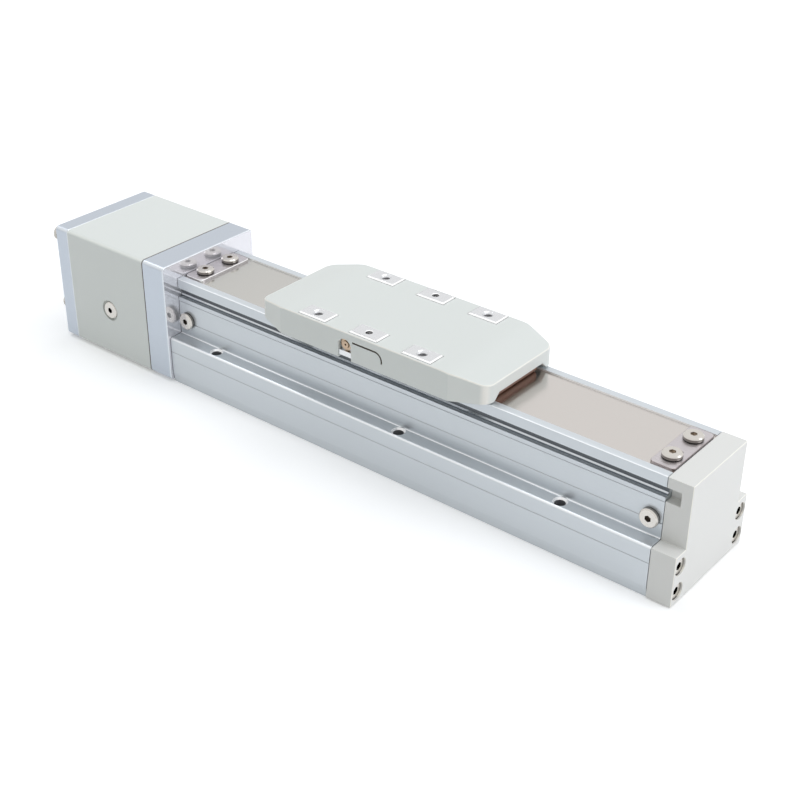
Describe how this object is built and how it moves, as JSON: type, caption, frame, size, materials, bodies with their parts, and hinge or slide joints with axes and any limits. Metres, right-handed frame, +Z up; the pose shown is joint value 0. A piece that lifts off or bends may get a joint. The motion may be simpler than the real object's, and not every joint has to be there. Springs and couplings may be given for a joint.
{
  "type": "ball screw linear stage",
  "caption": "Enclosed ball screw linear stage: a covered carriage runs on an extruded base under a steel strip, with a box for a motor and its coupling at one end.",
  "frame": {"origin": "centre of the base profile's length and width, on its underside", "axes": "+X along the travel, from the motor end to the end cap; +Z up, out of the mounting surface; -Y is the side with the grease nipple"},
  "size_m": [0.3395, 0.057, 0.0622],
  "materials": {
    "anodised_profile": "clear anodised extrusion, satin",
    "anodised_plate": "clear anodised machined plate, satin",
    "machined_aluminium": "machined, clear anodised",
    "cream_paint": "satin powder coat, greenish cream",
    "cream_plastic": "fine matt moulding, greenish cream",
    "strip_steel": "cold rolled stainless strip, satin",
    "clamp_steel": "stainless sheet, satin",
    "screw_steel": "nickel plated steel screws",
    "ground_steel": "hardened and ground steel",
    "blackened_steel": "black oxide steel",
    "nipple_brass": "turned brass",
    "black_rubber": "black rubber",
    "red_urethane": "cast polyurethane",
    "black_plastic": "black acetal",
    "magnet_strip": "plastic bonded magnet"
  },
  "bodies": {
    "stage_base": {"base_profile": "anodised_profile", "strip_magnets": "magnet_strip", "front_plate": "anodised_plate", "front_plate_screws": "screw_steel", "coupling_housing": "cream_paint", "access_plug": "screw_steel", "rear_plate": "anodised_plate", "tie_screws": "screw_steel", "fixed_bearing_housing": "machined_aluminium", "support_bearing_housing": "machined_aluminium", "bearing_retainer": "machined_aluminium", "retainer_screws": "screw_steel", "housing_side_screws": "screw_steel", "stop_bumpers": "black_rubber", "end_cap": "cream_paint", "end_cap_screws": "screw_steel", "fixed_bearing_outer_rings": "ground_steel", "fixed_bearing_balls": "ground_steel", "support_bearing_outer_ring": "ground_steel", "support_bearing_balls": "ground_steel", "guide_rail": "ground_steel", "rail_screws": "blackened_steel", "cover_strip": "strip_steel", "strip_clamp_drive_end": "clamp_steel", "strip_clamp_far_end": "clamp_steel", "strip_clamp_screws": "screw_steel"},
    "screw_shaft": {"ball_screw": "ground_steel", "fixed_bearing_inner_rings": "ground_steel", "support_bearing_inner_ring": "ground_steel", "bearing_collar": "ground_steel", "lock_nut": "blackened_steel", "support_circlip": "blackened_steel", "coupling_hub_screw_side": "machined_aluminium", "coupling_hub_motor_side": "machined_aluminium", "coupling_spider": "red_urethane", "coupling_clamp_screws": "blackened_steel"},
    "carriage": {"carriage_block": "machined_aluminium", "carriage_cover": "cream_plastic", "ball_nut": "ground_steel", "nut_screws": "blackened_steel", "nut_wiper": "black_plastic", "grease_nipple": "nipple_brass", "strip_press_shoes": "black_plastic", "guide_block_drive_side": "ground_steel", "guide_block_far_side": "ground_steel", "guide_block_end_caps": "black_plastic", "guide_block_screws": "blackened_steel"}
  },
  "joints": [
    {"name": "screw_turn", "type": "hinge", "parent": "stage_base", "child": "screw_shaft", "pos_m": [0, 0, 0.0294], "axis": [1, 0, 0], "range_deg": [-4580, 2909]},
    {"name": "carriage_slide", "type": "slide", "parent": "stage_base", "child": "carriage", "axis": [1, 0, 0], "range_m": [-0.0404, 0.0636], "deforming": ["cover_strip"]}
  ],
  "couplings": [
    {"joint": "screw_turn", "follows": "carriage_slide", "rad_per_m": -1256.6}
  ]
}
